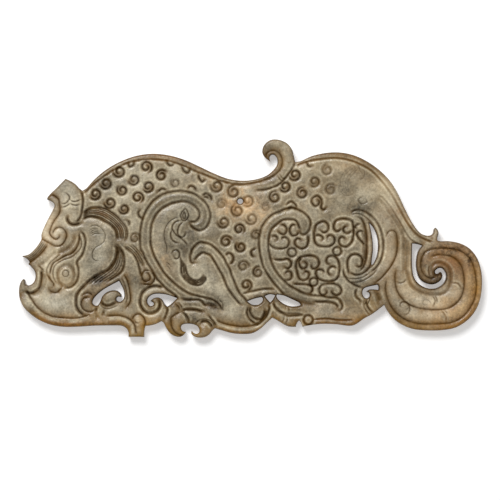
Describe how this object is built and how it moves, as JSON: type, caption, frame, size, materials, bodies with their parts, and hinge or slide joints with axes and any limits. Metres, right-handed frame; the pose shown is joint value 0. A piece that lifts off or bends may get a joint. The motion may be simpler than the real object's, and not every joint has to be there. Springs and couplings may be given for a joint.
{
  "type": "carved pendant",
  "caption": "Flat carved jade pendant in the outline of a crouching feline with raised bands, curl pattern and a coiled tail, with a small hole for its cord.",
  "frame": {"origin": "under the middle of the pendant's bounding box, on the plane of its back", "axes": "+X from the head to the tail, +Y from the feet to the back of the animal, +Z out of the carved face"},
  "size_m": [0.16, 0.0686, 0.0056],
  "materials": {
    "jade": "waxy polish over grey-green to tan jade, with brown soil in the grooves"
  },
  "bodies": {
    "root": {"jade_beast": "jade"}
  },
  "joints": []
}
